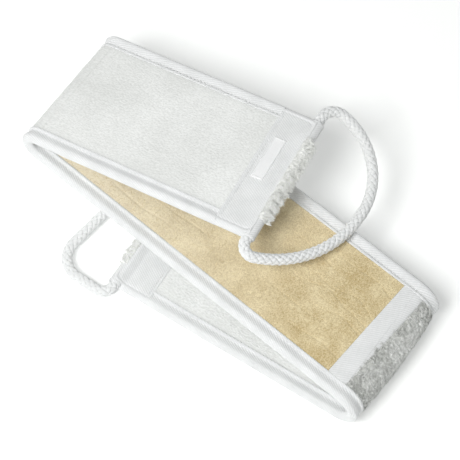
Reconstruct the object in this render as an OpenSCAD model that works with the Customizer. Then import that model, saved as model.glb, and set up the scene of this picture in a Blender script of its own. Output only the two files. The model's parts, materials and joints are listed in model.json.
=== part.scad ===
/* [Strap] */
// Width of the strap over its two edge bindings
strap_w = 100; // [90:1:110]
// Thickness of the strap over its bindings
strap_t = 7; // [6.6:0.1:8]
// Width of the edge binding that shows on each face
binding_w = 10.5; // [8:0.5:14]
// Thickness of the binding tape and of the end tabs
tape_t = 0.9; // [0.6:0.1:1]
// Thickness of the foam core
core_t = 2.6; // [2:0.1:2.8]

/* [Sections] */
// Length of the lower section, from its free end to the lower fold
lower_len = 180; // [150:1:220]
// Length of the middle section, between the two folds
middle_len = 269; // [240:1:300]
// Length of the upper section, from the upper fold to its free end
upper_len = 165; // [140:1:200]
// Distance from the lower free end to the start of the loofah panel
loofah_from = 230; // [225:1:260]
// Length of the loofah panel
loofah_len = 241; // [200:1:245]
// Width of the webbing band across each end of the loofah panel
band_w = 15; // [10:1:20]

/* [Folds] */
// Bend radius of the lower fold, at the middle of the strap's thickness
lower_fold_r = 12; // [11:0.5:16]
// Angle that the lower fold turns through
lower_fold_turn = 180; // [176:1:180]
// Slant of the lower fold across the strap
lower_fold_skew = 4.3; // [0:0.1:6]
// Bend radius of the upper fold, at the middle of the strap's thickness
upper_fold_r = 8; // [8:0.5:12]
// Angle that the upper fold turns through
upper_fold_turn = 174; // [168:1:178]
// Slant of the upper fold across the strap
upper_fold_skew = 5.9; // [0:0.1:8]

/* [Ends] */
// Length of the webbing tab on the lower end
lower_tab_len = 31.5; // [26:0.5:40]
// Length of the webbing tab on the upper end
upper_tab_len = 29.5; // [26:0.5:40]
// How far the long pile stands out past each end
fringe_len = 6; // [3:0.5:8]
// Length of the woven label
label_len = 34; // [20:1:40]
// Width of the woven label
label_w = 9; // [6:0.5:12]

/* [Handles] */
// Diameter of the braided rope
rope_d = 8; // [6:0.5:8]
// Angle that the upper handle hangs below the upper section
upper_handle_droop = 29.5; // [20:0.5:29.5]

/* [Hidden] */
$fn = 64;

// Colours
TERRY = [0.93, 0.94, 0.93];
PILE = [0.95, 0.95, 0.93];
LOOFAH = [0.93, 0.84, 0.62];
WEBBING = [0.97, 0.97, 0.98];
FOAM = [0.85, 0.86, 0.84];
ROPE = [0.96, 0.97, 0.98];

// Layers, measured from the middle of the strap's thickness
half_t = strap_t / 2;
core_top = core_t / 2;
slot_top = half_t - tape_t;
cloth_dip = 0.2;
cloth_top = half_t - cloth_dip;
seam_inset = 4;
seam_half_w = strap_w / 2 - seam_inset;
face_half_w = strap_w / 2 - binding_w;
thread_w = 0.6;
thread_t = 0.4;
thread_inset = 2.2;

// Folds: each is three equal hinge steps
steps = 3;
lower_step = lower_fold_turn / steps;
upper_step = upper_fold_turn / steps;
lower_arc = lower_fold_r * lower_fold_turn * PI / 180;
upper_arc = upper_fold_r * upper_fold_turn * PI / 180;
lower_fold_at = lower_len;
lower_fold_end = lower_fold_at + lower_arc / cos(lower_fold_skew);
upper_fold_at = lower_fold_end + middle_len;
upper_fold_end = upper_fold_at + upper_arc / cos(upper_fold_skew);
total_len = upper_fold_end + upper_len;
// Clear gap on each side of a hinge line, and where a layer's flat run meets its curved one
hinge_gap = 0.06;
ply_gap = 0.02;

// End tabs: a casing roll holds the rope
rope_r = rope_d / 2;
rope_gap = 0.08;
collar_len = 0.6;
collar_t = 0.03;
casing_wall = 0.8;
casing_r = rope_r + rope_gap + casing_wall;
// The casing lies this much above the underside of the strap
casing_rise = 0.1;
casing_lift = casing_r - half_t + casing_rise;
ply_start_gap = 0.5;
ply_start = 2 * casing_r + ply_start_gap;
fringe_half_w = 34;
fringe_t = 1.5;
fringe_slab_h = 4;
label_t = 0.5;
label_offset = 8;

// Rope loops, as a belt round circles [x, y, radius]; x points away from the strap
exit_gap = 0.8;
rope_exit = strap_w / 2 + exit_gap;
far_exit_gap = 3.2;
far_exit = rope_exit + far_exit_gap;
tight_bend = 7;
wide_bend = 12;
lower_exit_bend = 8;
near_sweep = 20;
far_sweep = 17;
far_sweep_at = [24, 41];
// Headings where the rope of the upper loop leaves its near bend and meets its far bend
leave = 25;
meet = 176;
// Radii of the two long arcs, less their bends, that close the upper loop
turn_sum = (1 - sin(leave)) * -cos(meet) + (1 - sin(meet)) * cos(leave);
loop_span = rope_exit + far_exit;
bend_slack = 2 * (wide_bend - tight_bend);
near_reach = ((1 - sin(meet)) * loop_span - bend_slack * cos(meet)) / turn_sum;
far_reach = ((1 - sin(leave)) * loop_span - bend_slack * cos(leave)) / turn_sum;
upper_loop = [
    [tight_bend, -rope_exit, tight_bend],
    [tight_bend - near_reach * sin(leave), near_reach * cos(leave) - rope_exit, near_reach + tight_bend],
    [wide_bend - far_reach * sin(meet), far_exit + far_reach * cos(meet), far_reach + wide_bend],
    [wide_bend, far_exit, wide_bend]
];
lower_loop = [
    [lower_exit_bend, -rope_exit, lower_exit_bend],
    [lower_exit_bend, near_sweep - lower_exit_bend - rope_exit, near_sweep],
    [far_sweep_at[0], far_sweep_at[1], far_sweep],
    [lower_exit_bend, rope_exit, lower_exit_bend]
];

// Outlines across the strap: x is the height over its middle, y is the distance from its centreline
module core_outline() {
    square([core_t, 2 * seam_half_w], center = true);
}

module face_outline(top) {
    translate([core_top, -seam_half_w]) square([slot_top - core_top, 2 * seam_half_w]);
    translate([core_top, -face_half_w]) square([top - core_top, 2 * face_half_w]);
}

module terry_outline() {
    face_outline(cloth_top);
}

module loofah_outline() {
    mirror([1, 0]) face_outline(cloth_top);
}

module pile_outline() {
    mirror([1, 0]) face_outline(half_t);
}

module thread_outline() {
    for (face = [-1, 1], side = [-1, 1])
        translate([face * (half_t - thread_t / 2), side * (face_half_w + thread_inset)])
            square([thread_t, thread_w], center = true);
}

// Rounded outline of the strap, shrunk by inset
module strap_outline(inset) {
    r = half_t - inset;
    edge = strap_w / 2 - half_t;
    square([2 * r, 2 * edge], center = true);
    for (side = [-1, 1])
        translate([0, side * edge]) circle(r);
}

module one_side(side) {
    intersection() {
        children();
        translate([-strap_t, side > 0 ? 0 : -strap_w]) square([2 * strap_t, strap_w]);
    }
}

module binding_outline(side) {
    difference() {
        one_side(side) strap_outline(0);
        square([2 * slot_top, 2 * seam_half_w], center = true);
        square([2 * strap_t, 2 * face_half_w], center = true);
        thread_outline();
    }
}

// What is left of a binding under an end tab
module rim_outline(side) {
    difference() {
        one_side(side) strap_outline(tape_t);
        square([2 * strap_t, 2 * seam_half_w], center = true);
    }
}

// Runs along the strap: x is the distance from the lower free end
module flat_run(from, to) {
    translate([to, 0, 0]) rotate([0, -90, 0]) linear_extrude(to - from) children();
}

// Plan region between two slanted lines
module plan_region(from, from_skew, to, to_skew) {
    reach = strap_w;
    translate([0, 0, -2 * strap_t]) linear_extrude(4 * strap_t) polygon([
        [from - reach * tan(from_skew), -reach],
        [to - reach * tan(to_skew), -reach],
        [to + reach * tan(to_skew), reach],
        [from + reach * tan(from_skew), reach]
    ]);
}

// Curved run round a fold whose axis is y; side is 1 for a fold to the terry side, -1 to the other
module arc_run(r, side, from, to) {
    rotate([side > 0 ? 0 : 180, 0, 0]) translate([0, 0, r]) rotate([0, 90, 0]) rotate([90, 0, 0])
        rotate([0, 0, from]) rotate_extrude(angle = to - from, $fn = 96)
            translate([r, 0]) rotate(side > 0 ? 180 : 0) children();
}

// Turn about a fold's axis
module fold_turn(r, side, angle) {
    translate([0, 0, side * r]) rotate([0, -side * angle, 0]) translate([0, 0, -side * r]) children();
}

// One hinge step of a fold: number 0 and number steps are half steps on the flat sections
module fold_step(r, side, step, skew, number) {
    gap_angle = hinge_gap / r * 180 / PI;
    half_width = r * step / 2 * PI / 180 - hinge_gap;
    from = number == 0 ? 0 : -step / 2 + gap_angle;
    to = number == steps ? 0 : step / 2 - gap_angle;
    travel = r * (number * step + (from + to) / 2) * PI / 180;
    fold_turn(r, side, number * step) intersection() {
        arc_run(r, side, from, to) translate([0, travel * tan(skew)]) children();
        cube([2 * half_width, 2 * strap_w, 8 * r], center = true);
    }
}

// Places for what lies before, in and past each fold
module lower_place() {
    translate([-lower_len / 2, 0, half_t]) children();
}

module past_fold(at, skew, r, angle, side) {
    arc = r * angle * PI / 180;
    translate([at, 0, 0]) rotate([0, 0, -skew]) fold_turn(r, side, angle)
        translate([-arc, 0, 0]) rotate([0, 0, skew]) translate([-at, 0, 0]) children();
}

module middle_place() {
    lower_place() past_fold(lower_fold_at, lower_fold_skew, lower_fold_r, lower_fold_turn, 1) children();
}

module upper_place() {
    middle_place() past_fold(upper_fold_at, upper_fold_skew, upper_fold_r, upper_fold_turn, -1) children();
}

module lower_fold_step(number) {
    lower_place() translate([lower_fold_at, 0, 0]) rotate([0, 0, -lower_fold_skew])
        fold_step(lower_fold_r, 1, lower_step, lower_fold_skew, number) children();
}

module upper_fold_step(number) {
    middle_place() translate([upper_fold_at, 0, 0]) rotate([0, 0, -upper_fold_skew])
        fold_step(upper_fold_r, -1, upper_step, upper_fold_skew, number) children();
}

// Flat part of each section, cut along its fold lines
module lower_flat(from, to = lower_len + strap_w) {
    lower_place() intersection() {
        flat_run(from, to) children();
        plan_region(-strap_w, 0, lower_fold_at - ply_gap, lower_fold_skew);
    }
}

module middle_flat(from = lower_len, to = total_len) {
    middle_place() intersection() {
        flat_run(from, to) children();
        plan_region(lower_fold_end + ply_gap, lower_fold_skew, upper_fold_at - ply_gap, upper_fold_skew);
    }
}

module upper_flat(to, from = upper_fold_at) {
    upper_place() intersection() {
        flat_run(from, to) children();
        plan_region(upper_fold_end + ply_gap, upper_fold_skew, total_len + strap_w, 0);
    }
}

// A layer of each section: its flat part and its half steps of the folds
module lower_layer(from) {
    lower_flat(from) children();
    lower_fold_step(0) children();
}

module middle_layer() {
    middle_flat() children();
    lower_fold_step(steps) children();
    upper_fold_step(0) children();
}

module upper_layer(to) {
    upper_flat(to) children();
    upper_fold_step(steps) children();
}

// End tab and fringe, with x measured in from the free end and the casing lifted by lift
module end_tab(len, lift) {
    difference() {
        union() {
            difference() {
                flat_run(casing_r, len) strap_outline(0);
                flat_run(0, len + 1) strap_outline(tape_t);
            }
            translate([casing_r, 0, lift]) rotate([90, 0, 0])
                cylinder(h = strap_w - 1, r = casing_r, center = true);
        }
        translate([casing_r, 0, lift]) rotate([90, 0, 0])
            cylinder(h = 2 * strap_w, r = rope_r + rope_gap, center = true);
    }
}

module pile_fringe(lift) {
    difference() {
        union() {
            translate([casing_r, 0, lift]) rotate([90, 0, 0])
                cylinder(h = 2 * fringe_half_w, r = casing_r + fringe_t, center = true);
            translate([-fringe_len, -fringe_half_w, -half_t]) cube([
                2 * fringe_len, 2 * fringe_half_w, fringe_slab_h
            ]);
        }
        translate([casing_r, 0, lift]) rotate([90, 0, 0])
            cylinder(h = strap_w, r = casing_r, center = true);
        translate([casing_r, -strap_w / 2, -strap_t]) cube([strap_w, strap_w, 2 * strap_t]);
        translate([-strap_w / 2, -strap_w / 2, -half_t - strap_w]) cube([strap_w, strap_w, strap_w]);
    }
}

// From the flat strap's upper free end, looking back along the strap
module from_upper_end() {
    upper_place() translate([total_len, 0, 0]) mirror([1, 0, 0]) children();
}

// Rope: arcs round a row of circles, joined by straight runs and closed through the casing
function heading(a, b) =
    let (d = [b[0] - a[0], b[1] - a[1]])
    atan2(d[1], d[0]) + asin(max(-1, min(1, (a[2] - b[2]) / norm(d))));

function on_circle(c, h) = [c[0] + c[2] * sin(h), c[1] - c[2] * cos(h)];

module rope_arc(c, from, to) {
    trim = collar_len / 6 / c[2] * 180 / PI;
    translate([c[0], c[1], 0]) rotate([0, 0, from + trim - 90])
        rotate_extrude(angle = to - from - 2 * trim, $fn = 96) translate([c[2], 0]) circle(rope_r);
}

module rope_line(a, b) {
    d = b - a;
    translate([a[0], a[1], 0]) rotate([0, 0, atan2(d[1], d[0])]) rotate([0, 90, 0])
        translate([0, 0, collar_len / 6]) cylinder(h = norm(d) - collar_len / 3, r = rope_r);
}

// Thin collar that joins two lengths of rope at a point
module rope_collar(p, h) {
    translate([p[0], p[1], 0]) rotate([0, 0, h]) rotate([0, 90, 0])
        cylinder(h = collar_len, r = rope_r + collar_t, center = true);
}

module rope_run(a, b, h) {
    rope_collar(a, h);
    if (norm(b - a) > collar_len) {
        rope_collar(b, h);
        rope_line(a, b);
    }
}

module rope_loop(circles) {
    last = len(circles) - 1;
    for (i = [0:last]) {
        from = i == 0 ? -90 : heading(circles[i - 1], circles[i]);
        to = i == last ? 270 : heading(circles[i], circles[i + 1]);
        next = circles[(i + 1) % (last + 1)];
        rope_arc(circles[i], from, to);
        rope_run(on_circle(circles[i], to), on_circle(next, to), to);
    }
}

// Lower section
module lower_core() {
    color(FOAM) lower_layer(ply_start) core_outline();
}

module lower_terry_face() {
    color(TERRY) {
        lower_layer(lower_tab_len) terry_outline();
        lower_flat(ply_start, lower_tab_len) intersection() {
            terry_outline();
            square([2 * slot_top, strap_w], center = true);
        }
    }
}

module lower_pile_face() {
    color(PILE) {
        lower_layer(lower_tab_len) pile_outline();
        lower_flat(ply_start, lower_tab_len) intersection() {
            pile_outline();
            square([2 * slot_top, strap_w], center = true);
        }
    }
}

module lower_binding(side) {
    color(WEBBING) {
        lower_layer(lower_tab_len) binding_outline(side);
        lower_flat(ply_start, lower_tab_len) rim_outline(side);
    }
}

module lower_near_binding() {
    lower_binding(-1);
}

module lower_far_binding() {
    lower_binding(1);
}

module lower_seam_thread() {
    color(WEBBING) lower_layer(lower_tab_len) thread_outline();
}

module lower_end_tab() {
    color(WEBBING) lower_place() end_tab(lower_tab_len, casing_lift);
}

module lower_pile_fringe() {
    color(PILE) lower_place() pile_fringe(casing_lift);
}

// Two hinge steps of the lower fold
module lower_fold_inner_core() {
    color(FOAM) lower_fold_step(1) core_outline();
}

module lower_fold_inner_terry() {
    color(TERRY) lower_fold_step(1) terry_outline();
}

module lower_fold_inner_pile() {
    color(PILE) lower_fold_step(1) pile_outline();
}

module lower_fold_inner_bindings() {
    color(WEBBING) for (side = [-1, 1]) lower_fold_step(1) binding_outline(side);
}

module lower_fold_outer_core() {
    color(FOAM) lower_fold_step(2) core_outline();
}

module lower_fold_outer_terry() {
    color(TERRY) lower_fold_step(2) terry_outline();
}

module lower_fold_outer_pile() {
    color(PILE) lower_fold_step(2) pile_outline();
}

module lower_fold_outer_bindings() {
    color(WEBBING) for (side = [-1, 1]) lower_fold_step(2) binding_outline(side);
}

// Middle section
module middle_core() {
    color(FOAM) middle_layer() core_outline();
}

module middle_terry_face() {
    color(TERRY) middle_layer() terry_outline();
}

module middle_pile_strip() {
    color(PILE) {
        middle_flat(to = loofah_from - band_w) pile_outline();
        lower_fold_step(steps) pile_outline();
        upper_fold_step(0) pile_outline();
    }
}

module middle_loofah_panel() {
    color(LOOFAH) middle_flat(loofah_from, loofah_from + loofah_len) loofah_outline();
}

module lower_cross_band() {
    color(WEBBING) middle_flat(loofah_from - band_w, loofah_from) pile_outline();
}

module upper_cross_band() {
    color(WEBBING) middle_flat(from = loofah_from + loofah_len) pile_outline();
}

module middle_near_binding() {
    color(WEBBING) middle_layer() binding_outline(-1);
}

module middle_far_binding() {
    color(WEBBING) middle_layer() binding_outline(1);
}

module middle_seam_thread() {
    color(WEBBING) middle_layer() thread_outline();
}

// Two hinge steps of the upper fold
module upper_fold_inner_core() {
    color(FOAM) upper_fold_step(1) core_outline();
}

module upper_fold_inner_terry() {
    color(TERRY) upper_fold_step(1) terry_outline();
}

module upper_fold_inner_pile() {
    color(PILE) upper_fold_step(1) pile_outline();
}

module upper_fold_inner_bindings() {
    color(WEBBING) for (side = [-1, 1]) upper_fold_step(1) binding_outline(side);
}

module upper_fold_outer_core() {
    color(FOAM) upper_fold_step(2) core_outline();
}

module upper_fold_outer_terry() {
    color(TERRY) upper_fold_step(2) terry_outline();
}

module upper_fold_outer_pile() {
    color(PILE) upper_fold_step(2) pile_outline();
}

module upper_fold_outer_bindings() {
    color(WEBBING) for (side = [-1, 1]) upper_fold_step(2) binding_outline(side);
}

// Upper section
module upper_core() {
    color(FOAM) upper_layer(total_len - ply_start) core_outline();
}

module upper_face(end) {
    upper_layer(total_len - upper_tab_len) children();
    upper_flat(end, total_len - upper_tab_len) intersection() {
        children();
        square([2 * slot_top, strap_w], center = true);
    }
}

module upper_terry_face() {
    color(TERRY) upper_face(total_len - ply_start) terry_outline();
}

module upper_pile_face() {
    color(PILE) upper_face(total_len - ply_start) pile_outline();
}

module upper_binding(side) {
    color(WEBBING) {
        upper_layer(total_len - upper_tab_len) binding_outline(side);
        upper_flat(total_len - ply_start, total_len - upper_tab_len) rim_outline(side);
    }
}

module upper_near_binding() {
    upper_binding(-1);
}

module upper_far_binding() {
    upper_binding(1);
}

module upper_seam_thread() {
    color(WEBBING) upper_layer(total_len - upper_tab_len) thread_outline();
}

module upper_end_tab() {
    color(WEBBING) from_upper_end() end_tab(upper_tab_len, -casing_lift);
}

module upper_pile_fringe() {
    color(PILE) from_upper_end() pile_fringe(-casing_lift);
}

module label() {
    color(WEBBING) from_upper_end()
        translate([2 * casing_r + (upper_tab_len - 2 * casing_r) / 2, label_offset, half_t + label_t / 2])
            cube([label_w, label_len, label_t], center = true);
}

// Handles
module upper_rope_handle() {
    color(ROPE) upper_place() translate([total_len - casing_r, 0, -casing_lift])
        rotate([0, upper_handle_droop, 0]) rope_loop(upper_loop);
}

module lower_rope_handle() {
    color(ROPE) lower_place() translate([casing_r, 0, casing_lift])
        rotate([0, 0, 180]) rope_loop(lower_loop);
}

lower_core();
lower_terry_face();
lower_pile_face();
lower_near_binding();
lower_far_binding();
lower_seam_thread();
lower_end_tab();
lower_pile_fringe();
lower_fold_inner_core();
lower_fold_inner_terry();
lower_fold_inner_pile();
lower_fold_inner_bindings();
lower_fold_outer_core();
lower_fold_outer_terry();
lower_fold_outer_pile();
lower_fold_outer_bindings();
middle_core();
middle_terry_face();
middle_pile_strip();
middle_loofah_panel();
lower_cross_band();
upper_cross_band();
middle_near_binding();
middle_far_binding();
middle_seam_thread();
upper_fold_inner_core();
upper_fold_inner_terry();
upper_fold_inner_pile();
upper_fold_inner_bindings();
upper_fold_outer_core();
upper_fold_outer_terry();
upper_fold_outer_pile();
upper_fold_outer_bindings();
upper_core();
upper_terry_face();
upper_pile_face();
upper_near_binding();
upper_far_binding();
upper_seam_thread();
upper_end_tab();
upper_pile_fringe();
label();
upper_rope_handle();
lower_rope_handle();
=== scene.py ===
"""Looks of a back scrubber: a padded strap folded twice, with a braided rope handle at each end."""

import json
import math

import bpy
import numpy as np
from mathutils import Matrix, Vector

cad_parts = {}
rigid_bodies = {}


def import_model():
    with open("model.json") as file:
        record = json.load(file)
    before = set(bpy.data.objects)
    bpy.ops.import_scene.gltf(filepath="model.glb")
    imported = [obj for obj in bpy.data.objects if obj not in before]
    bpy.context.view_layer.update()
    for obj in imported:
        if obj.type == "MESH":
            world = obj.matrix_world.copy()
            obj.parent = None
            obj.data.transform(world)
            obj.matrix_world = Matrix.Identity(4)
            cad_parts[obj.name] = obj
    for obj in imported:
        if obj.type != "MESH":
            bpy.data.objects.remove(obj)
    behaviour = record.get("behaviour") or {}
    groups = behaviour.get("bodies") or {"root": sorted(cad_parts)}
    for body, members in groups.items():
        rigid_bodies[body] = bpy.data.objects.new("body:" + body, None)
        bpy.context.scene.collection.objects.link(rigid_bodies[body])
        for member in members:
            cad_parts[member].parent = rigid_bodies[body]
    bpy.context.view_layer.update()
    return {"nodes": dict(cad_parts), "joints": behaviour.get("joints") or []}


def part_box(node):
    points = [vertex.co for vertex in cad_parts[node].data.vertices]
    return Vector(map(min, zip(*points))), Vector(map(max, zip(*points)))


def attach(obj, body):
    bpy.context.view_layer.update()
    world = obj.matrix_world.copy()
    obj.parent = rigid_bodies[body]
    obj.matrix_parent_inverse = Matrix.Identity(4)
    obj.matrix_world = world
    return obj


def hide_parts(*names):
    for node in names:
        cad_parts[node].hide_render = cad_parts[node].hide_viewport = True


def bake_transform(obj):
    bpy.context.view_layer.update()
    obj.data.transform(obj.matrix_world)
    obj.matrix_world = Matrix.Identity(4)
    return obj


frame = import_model()

# Lengths are in millimetres, and a piece is turned into metres when its mesh is made.
# Strap coordinates are s along the strap from its lower free end, v across it towards its far edge,
# and n above the middle of its thickness on the terry side.
MM = 1000.0
HALF_T = 3.5
TERRY = 1
PILE = -1

# Half the width of the cloth between the bindings, and of the cloth up to its cut edge inside them
FACE_HALF_W = 39.5
SEAM_HALF_W = 46.0
# Heights of the inner face of each cloth, and of the ground that the pile grows from
CORE_TOP = 0.2
PLY_TOP = 2.6
# Lowest height of the outer face of each cloth
TERRY_TOP = 3.05
PILE_TOP = 2.95
LOOFAH_TOP = 2.85
BAND_TOP = 3.15

# Sizes of a mesh cell
TERRY_GRID = 0.45
HIDDEN_GRID = 1.3
LOOFAH_GRID = 0.6
BAND_GRID = 0.5
BINDING_GRID = 0.36
LABEL_GRID = 0.17

# Radii of fibres and stitches, from one end to the other
PILE_RADII = (0.15, 0.17, 0.17, 0.15, 0.12, 0.05)
FRINGE_RADII = (0.14, 0.12, 0.09, 0.03)
LOOFAH_RADII = (0.06, 0.12, 0.14, 0.12, 0.06)
STITCH_RADII = (0.12, 0.24, 0.27, 0.27, 0.24, 0.12)
TAB_STITCH_RADII = (0.12, 0.22, 0.25, 0.25, 0.22, 0.12)
FIBRE_SPACING = 2.8
# Depth of the bump in every cloth's material, in metres
BUMP_DEPTH = 0.0003

# Tape, and the twill ribs that slant across it
TAPE_T = 0.9
RIB_PITCH = 1.45
RIB_HEIGHT = 0.15
RIB_ALONG = 0.5
RIB_ACROSS = 0.866

# End tabs: radii of the casing roll and its bore, and how far its axis lies off the strap's middle
CASING_R = 4.88
CASING_BORE = 4.08
CASING_LIFT = 1.48
# Distance in from the end to the seam beside the casing, and the width of the hem round a corner
SEAM_IN = CASING_R - 0.6
HEM_W = 9.0
# Distance from a tab's inner edge to its stitches
TAB_STITCH_IN = 2.6
FRINGE_HALF_W = 34.0
LOWER_FRINGE = 4.0
UPPER_FRINGE = 6.4

# Stitches
STITCH_V = 41.95
STITCH_N = 2.75
STITCH_PITCH = 2.7
STITCH_LEN = 2.0

# Rope
ROPE_STRANDS = 5
ROPE_PITCH = 24.0
ROPE_CORE_R = 2.5
# Distance of a yarn from the rope's middle, and how far it rises and dips as it crosses the others
YARN_OUT = 2.66
YARN_WEAVE = 0.45
YARN_HALF_W = 1.5
YARN_HALF_T = 0.9
# Distance round a yarn for each radian, and the step between two yarns, in cloth coordinates
YARN_GRAIN = 1.1
YARN_APART = 9.0
HANDLE_DROOP = 29.5


# ---- strap geometry

def distance_along(points):
    """Distance of each point from the first, along the line through them."""
    return np.concatenate([[0], np.cumsum(np.linalg.norm(np.diff(points, axis=0), axis=1))])


def unit(vectors):
    """The vectors at length 1."""
    return vectors / np.maximum(np.linalg.norm(vectors, axis=-1, keepdims=True), 1e-9)


def rigid_place(mapping, s):
    """4x4 matrix of the flat stretch of strap round s under a mapping of strap coordinates."""
    base = np.array([[s, 0, 0], [s + 1, 0, 0], [s, 1, 0], [s, 0, 1]], float)
    moved = mapping(base)
    place = np.eye(4)
    place[:3, :3] = (moved[1:] - moved[0]).T
    place[:3, 3] = moved[0] - place[:3, :3] @ base[0]
    return place


def move(place, points):
    return points @ place[:3, :3].T + place[:3, 3]


def move_back(place, points):
    return (points - place[:3, 3]) @ place[:3, :3]


class Fold:
    """A fold of the strap, read from its three hinges."""

    def __init__(self, name, place):
        hinges = sorted(
            (j for j in frame["joints"] if j["name"].startswith(name)), key=lambda j: j["name"]
        )
        p = move_back(place, np.array([j["pos_m"] for j in hinges]) * MM)
        axis = np.array(hinges[0]["axis"]) @ place[:3, :3]
        axis = axis * np.sign(axis[1])
        self.steps = len(hinges)
        self.step = math.radians(hinges[0]["range_deg"][1])
        self.turn = self.step * self.steps
        reach = np.linalg.norm(p[1] - p[0]) / (2 * math.sin(self.step / 2))
        self.radius = reach * math.sin(self.step / 2) / (self.step / 2)
        centre = p[1] + ((p[0] + p[2]) / 2 - p[1]) / (1 - math.cos(self.step))
        self.side = float(np.sign(centre[2]))
        self.skew = math.atan2(axis[0], axis[1])
        self.at = centre[0] - centre[1] * math.tan(self.skew)
        self.arc = self.radius * self.turn
        self.end = self.at + self.arc / math.cos(self.skew)
        self.bodies = [hinges[0]["parent"]] + [j["child"] for j in hinges]

    def line(self, share):
        """The slanted line across the strap at a share of the turn, as s for each v."""
        q = self.arc * share
        return lambda v: self.at + q / math.cos(self.skew) + v * math.tan(self.skew)

    def bend(self, points):
        """Bends strap coordinates round this fold."""
        cos, sin = math.cos(self.skew), math.sin(self.skew)
        local = points - np.array([self.at, 0, 0])
        q = local[:, 0] * cos - local[:, 1] * sin
        w = local[:, 0] * sin + local[:, 1] * cos
        angle = np.clip(q, 0, self.arc) / self.radius
        beyond = q - angle * self.radius
        r = self.radius - local[:, 2] * self.side
        out = r * np.sin(angle) + beyond * np.cos(angle)
        up = self.radius - r * np.cos(angle) + beyond * np.sin(angle)
        return np.stack(
            [self.at + out * cos + w * sin, w * cos - out * sin, up * self.side], axis=1
        )


LOWER_PLACE = np.eye(4)
LOWER_PLACE[:3, 3] = [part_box("lower_end_tab")[0].x * MM, 0, HALF_T]
LOWER_FOLD = Fold("lower_fold_hinge", LOWER_PLACE)


def past_lower_fold(points):
    return move(LOWER_PLACE, LOWER_FOLD.bend(points))


MIDDLE_PLACE = rigid_place(past_lower_fold, LOWER_FOLD.end + 20)
UPPER_FOLD = Fold("upper_fold_hinge", MIDDLE_PLACE)


def on_strap(points):
    """Strap coordinates to the object frame, in millimetres."""
    return past_lower_fold(UPPER_FOLD.bend(points))


def bent(flat):
    """An array of strap coordinates, of any shape, in the object frame."""
    return on_strap(flat.reshape(-1, 3)).reshape(flat.shape)


UPPER_PLACE = rigid_place(on_strap, UPPER_FOLD.end + 20)


def flat_box(node, place):
    """Lowest and highest strap coordinates of a CAD node on a flat section."""
    points = np.array([v.co for v in frame["nodes"][node].data.vertices], float) * MM
    flat = move_back(place, points)
    return flat.min(0), flat.max(0)


def straight(s):
    """A line square across the strap."""
    return lambda v: s + 0 * v


def outer_of(a, b):
    """The farther along the strap of two lines."""
    return lambda v: np.maximum(a(v), b(v))


LOWER_TAB_END = flat_box("lower_end_tab", LOWER_PLACE)[1][0]
UPPER_TAB_START = flat_box("upper_end_tab", UPPER_PLACE)[0][0]
STRAP_END = flat_box("upper_end_tab", UPPER_PLACE)[1][0]
LOOFAH_START = flat_box("middle_loofah_panel", MIDDLE_PLACE)[0][0]
LOOFAH_END = flat_box("middle_loofah_panel", MIDDLE_PLACE)[1][0]
STRAP_HALF_W = flat_box("lower_end_tab", LOWER_PLACE)[1][1]
BAND_W = 15.0
FULL_W = (-FACE_HALF_W, FACE_HALF_W)
# The flat sections, each between two lines across the strap
FLAT_RUNS = {
    "lower": (straight(LOWER_TAB_END - 1), LOWER_FOLD.line(0)),
    "middle": (LOWER_FOLD.line(1), UPPER_FOLD.line(0)),
    "upper": (UPPER_FOLD.line(1), straight(UPPER_TAB_START + 1)),
}


# ---- noise

# In the height functions below, the last two numbers of a noise are its cell size and its seed.

def hashed(ix, iy, seed):
    """A fixed pseudo-random number from 0 to 1 for each lattice point."""
    x = ix.astype(np.int64).astype(np.uint64)
    y = iy.astype(np.int64).astype(np.uint64)
    mask = np.uint64(0xFFFFFFFF)
    h = (x * np.uint64(374761393) + y * np.uint64(668265263) + np.uint64(seed * 144665)) & mask
    h = ((h ^ (h >> np.uint64(13))) * np.uint64(1274126177)) & mask
    h = ((h ^ (h >> np.uint64(15))) * np.uint64(2246822519)) & mask
    return ((h ^ (h >> np.uint64(16))) & np.uint64(0xFFFFFF)) / float(0xFFFFFF)


def waves(x, y, cell, seed):
    """Smooth noise from 0 to 1 with features of about the cell size."""
    gx, gy = np.floor(x / cell), np.floor(y / cell)
    fx, fy = x / cell - gx, y / cell - gy
    fx = fx * fx * (3 - 2 * fx)
    fy = fy * fy * (3 - 2 * fy)
    low = hashed(gx, gy, seed) * (1 - fx) + hashed(gx + 1, gy, seed) * fx
    high = hashed(gx, gy + 1, seed) * (1 - fx) + hashed(gx + 1, gy + 1, seed) * fx
    return low * (1 - fy) + high * fy


def tufts(x, y, cell, seed):
    """Rounded tufts from 0 to 1, one for each cell."""
    gx, gy = np.floor(x / cell), np.floor(y / cell)
    best = np.full(x.shape, 9.0)
    for ox in (-1, 0, 1):
        for oy in (-1, 0, 1):
            cx, cy = gx + ox, gy + oy
            px = cx + hashed(cx, cy, seed)
            py = cy + hashed(cx, cy, seed + 1)
            best = np.minimum(best, np.hypot(x / cell - px, y / cell - py))
    return 1 - np.clip(best, 0, 1) ** 2


# ---- surfaces

def edge_dip(v, half_w):
    """1 in the middle of a panel, falling to 0 where it tucks under its binding."""
    return 1 - np.clip(np.abs(v) / half_w, 0, 1) ** 14


def terry_height(s, v):
    loops = tufts(s * 0.5, v, 0.9, 11) * 0.3 + waves(s * 0.4, v, 0.8, 12) * 0.18
    pillow = waves(s, v, 16, 13) * 0.1 + waves(s * 0.5, v, 4, 14) * 0.14
    return TERRY_TOP + (loops + pillow) * (0.35 + 0.65 * edge_dip(v, FACE_HALF_W))


def pile_height(s, v):
    clumps = tufts(s, v, 2.4, 21) * 0.3 + waves(s, v, 1.2, 22) * 0.15
    return PILE_TOP + clumps * edge_dip(v, FACE_HALF_W)


def crease(s, v, at, wander, seed):
    """Depth from 0 to 1 of a broken crease that runs along the panel."""
    centre = at + (waves(s, s * 0, 19, seed) - 0.5) * wander
    shown = np.clip(waves(s, v * 0, 26, seed + 1) * 3 - 1.2, 0, 1)
    return np.exp(-((v - centre) / 0.65) ** 2) * shown


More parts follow.
